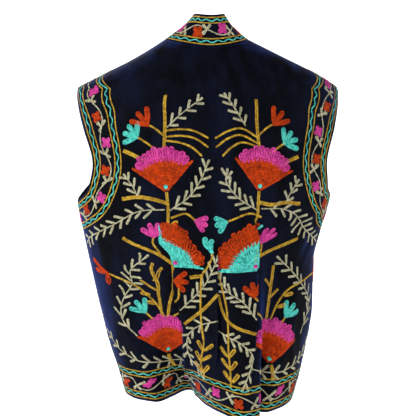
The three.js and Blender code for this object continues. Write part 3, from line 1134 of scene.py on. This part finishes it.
def inside_cloth():
    """The cotton back of the velvet, with a plain weave."""
    cloth = Finish("velvet_back", Roughness=0.9, Specular_IOR_Level=0.04)
    weave, cross = (
        cloth.node("ShaderNodeTexWave", {
            "Vector": cloth.place(), "Scale": 420.0, "Distortion": 0.6, "Detail": 1.0,
        }, bands_direction=way).outputs["Fac"]
        for way in "ZX"
    )
    tone = cloth.between(cloth.noise(60.0), 0.3, 0.7)
    cloth.to("Base Color", cloth.blend(tone, linear(9, 11, 20), linear(15, 18, 30)))
    cloth.bump(cloth.sum(weave, cross), 0.35, 0.0003)
    return cloth.material


def thread(name, colour, darker_dye_and_shade):
    """Chain stitch in soft cotton: a furrow down each link with painted shade in it, a twist, and
    uneven dye.
    """
    yarn = Finish(name, Roughness=0.6, Specular_IOR_Level=0.1)
    link = yarn.node("ShaderNodeUVMap", uv_map="link").outputs["UV"]
    parts = yarn.node("ShaderNodeSeparateXYZ", {"Vector": link})
    across = yarn.sum(parts.outputs["Y"], 0.5, "SUBTRACT")
    across_size = yarn.node("ShaderNodeMath", {0: across}, operation="ABSOLUTE").outputs[0]
    ridge = yarn.between(across_size, 0.0, 0.17)
    twist = yarn.node("ShaderNodeTexWave", {
        "Vector": link, "Scale": 2.6, "Distortion": 1.2, "Detail": 1.0,
    }, bands_direction="DIAGONAL").outputs["Fac"]
    shade = yarn.node("ShaderNodeAttribute", attribute_name="shade").outputs["Fac"]
    dye = yarn.noise(55.0, 2.0)
    tone = yarn.sum(yarn.sum(shade, 0.5, "MULTIPLY"), yarn.sum(dye, 0.5, "MULTIPLY"))
    body = yarn.blend(yarn.between(tone, 0.25, 0.75), darker_dye_and_shade, colour)
    # Painted shade: down the middle of each link the colour is mixed towards the darker colour.
    furrow_painted_shade = yarn.between(ridge, 0.0, 1.0, 0.55, 0.0)
    yarn.to("Base Color", yarn.blend(furrow_painted_shade, body, darker_dye_and_shade))
    yarn.bump(yarn.sum(ridge, yarn.sum(twist, 0.45, "MULTIPLY")), 0.6, 0.0005)
    return yarn.material


# Each thread has its colour and a darker one, used for the uneven dye and for the painted shade in
# the furrows.
THREADS = {
    "gold": thread("gold_thread", linear(202, 164, 54), linear(146, 110, 28)),
    "cream": thread("cream_thread", linear(202, 198, 164), linear(138, 134, 106)),
    "orange": thread("orange_thread", linear(200, 64, 2), linear(140, 38, 1)),
    "pink": thread("pink_thread", linear(220, 74, 158), linear(170, 44, 120)),
    "turquoise": thread("turquoise_thread", linear(94, 214, 198), linear(50, 156, 148)),
}

# ---------------------------------------------------------------- making the vest
VELVET = velvet("navy_velvet")
# The bands get a weaker painted sheen.
BAND_VELVET = velvet("navy_band_velvet", 0.7)
INSIDE = inside_cloth()


def band_lines():
    """Each band with its cross lines, in order along it, and whether its grid is turned over."""
    end = 1 - half_gap(0)
    neck = [neck_line(share) for share in np.linspace(-end, end, 61)]
    bands = [("neck_band", [(seam, way * BAND_WIDTH) for seam, way in neck], False)]
    heights = np.concatenate([[0.0], rows_between(FRONT_TOP_Z)])
    for side, name in ((1, "front_band_left"), (-1, "front_band_right")):
        bands.append((name, [front_line(side, z) for z in heights], side < 0))
    return bands


def finish_piece(ground, columns, rows, velvet_material, stitches):
    """Makes a piece's cloth, hides the imported part of the same name, and attaches the cloth and
    its stitches to the root.
    """
    cloth = shell(ground, columns, rows, (velvet_material, INSIDE))
    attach(cloth, "root")
    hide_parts(ground.name)
    for thread_name, links in stitches.items():
        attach(links, "root")


# Where a band's first flower is, the distance between flowers and their size.
NECK_FLOWERS, FRONT_BAND_FLOWERS = (40.6, 52, 23), (24, 48, 21)


def make_vest():
    """Charts, embroiders and makes the six pieces."""
    back = back_ground()
    rows = len(back.heights) - 1
    finish_piece(back, 172, rows, VELVET, embroider_back(back))
    for side in (1, -1):
        front = front_ground(side)
        finish_piece(front, 60, rows, VELVET, embroider_front(front, side))
    for name, lines, turned_over in band_lines():
        band = band_ground(name, lines, turned_over)
        rows = 60 if name == "neck_band" else len(lines) - 1
        layout = NECK_FLOWERS if name == "neck_band" else FRONT_BAND_FLOWERS
        finish_piece(band, 12, rows, BAND_VELVET, embroider_band(band, *layout))


make_vest()

# ---------------------------------------------------------------- camera, floor and light
VIEW_AZIMUTH, VIEW_ELEVATION, VIEW_DISTANCE = 174.5, 7.0, 2.0
LOOK_AT = Vector((0.0, 0.0, -0.306))
LENS = 94.15


def aim(thing, azimuth, elevation, distance):
    """Stands a camera or light off from the look point and turns it there. Azimuth 0 is the
    front."""
    a, e = math.radians(azimuth), math.radians(elevation)
    way = Vector((math.sin(a) * math.cos(e), -math.cos(a) * math.cos(e), math.sin(e)))
    thing.location = LOOK_AT + way * distance
    thing.rotation_euler = (-way).to_track_quat("-Z", "Y").to_euler()


def place_camera():
    data = bpy.data.cameras.new("camera")
    data.lens = LENS
    data.clip_end = 50
    camera = add_object("camera", data)
    aim(camera, VIEW_AZIMUTH, VIEW_ELEVATION, VIEW_DISTANCE)
    bpy.context.scene.camera = camera


FLOOR_Z = -1.25
SWEEP_RADIUS = 5.0
SWEEP_BEND = 1.8
SWEEP_TOP = 3.0


def place_floor():
    """A pale floor that bends up into a wall all round, like a paper sweep."""
    bm = bmesh.new()
    profile = [bm.verts.new((0, 0, FLOOR_Z))]
    for step in range(13):
        turn = math.pi / 2 * step / 12
        out = SWEEP_RADIUS - SWEEP_BEND + SWEEP_BEND * math.sin(turn)
        profile.append(bm.verts.new((out, 0, FLOOR_Z + SWEEP_BEND * (1 - math.cos(turn)))))
    profile.append(bm.verts.new((SWEEP_RADIUS, 0, SWEEP_TOP)))
    edges = [bm.edges.new(pair) for pair in zip(profile, profile[1:])]
    bmesh.ops.spin(bm, geom=profile + edges, cent=(0, 0, 0), axis=(0, 0, 1),
                   angle=2 * math.pi, steps=64, use_merge=True, use_duplicate=False)
    bmesh.ops.remove_doubles(bm, verts=bm.verts[:], dist=1e-5)
    bmesh.ops.recalc_face_normals(bm, faces=bm.faces[:])
    mesh = bpy.data.meshes.new("floor")
    bm.to_mesh(mesh)
    bm.free()
    mesh.shade_smooth()
    paper = Finish("paper_sweep", Roughness=0.95, Specular_IOR_Level=0.1,
                   Base_Color=(0.9, 0.9, 0.9, 1), Emission_Color=(1, 1, 1, 1),
                   Emission_Strength=0.55)
    mesh.materials.append(paper.material)
    add_object("floor", mesh)


def softbox(name, azimuth, elevation, distance, size, power):
    """A broad light that faces the vest."""
    data = bpy.data.lights.new(name, "AREA")
    data.shape = "RECTANGLE"
    data.size, data.size_y = size
    data.energy = power
    aim(add_object(name, data), azimuth, elevation, distance)


def light_scene():
    """A pale room with a large light on one side and two weaker ones."""
    world = bpy.data.worlds.new("studio")
    world.use_nodes = True
    background = world.node_tree.nodes["Background"].inputs
    background["Color"].default_value = (1, 1, 1, 1)
    background["Strength"].default_value = 0.3
    bpy.context.scene.world = world
    softbox("key", 108, 22, 2.2, (1.0, 1.6), 34)
    softbox("fill", 215, 20, 2.6, (1.2, 1.4), 6)
    softbox("front_fill", 20, 25, 2.6, (1.2, 1.4), 16)


place_camera()
place_floor()
light_scene()
bpy.context.scene.view_settings.view_transform = "Standard"
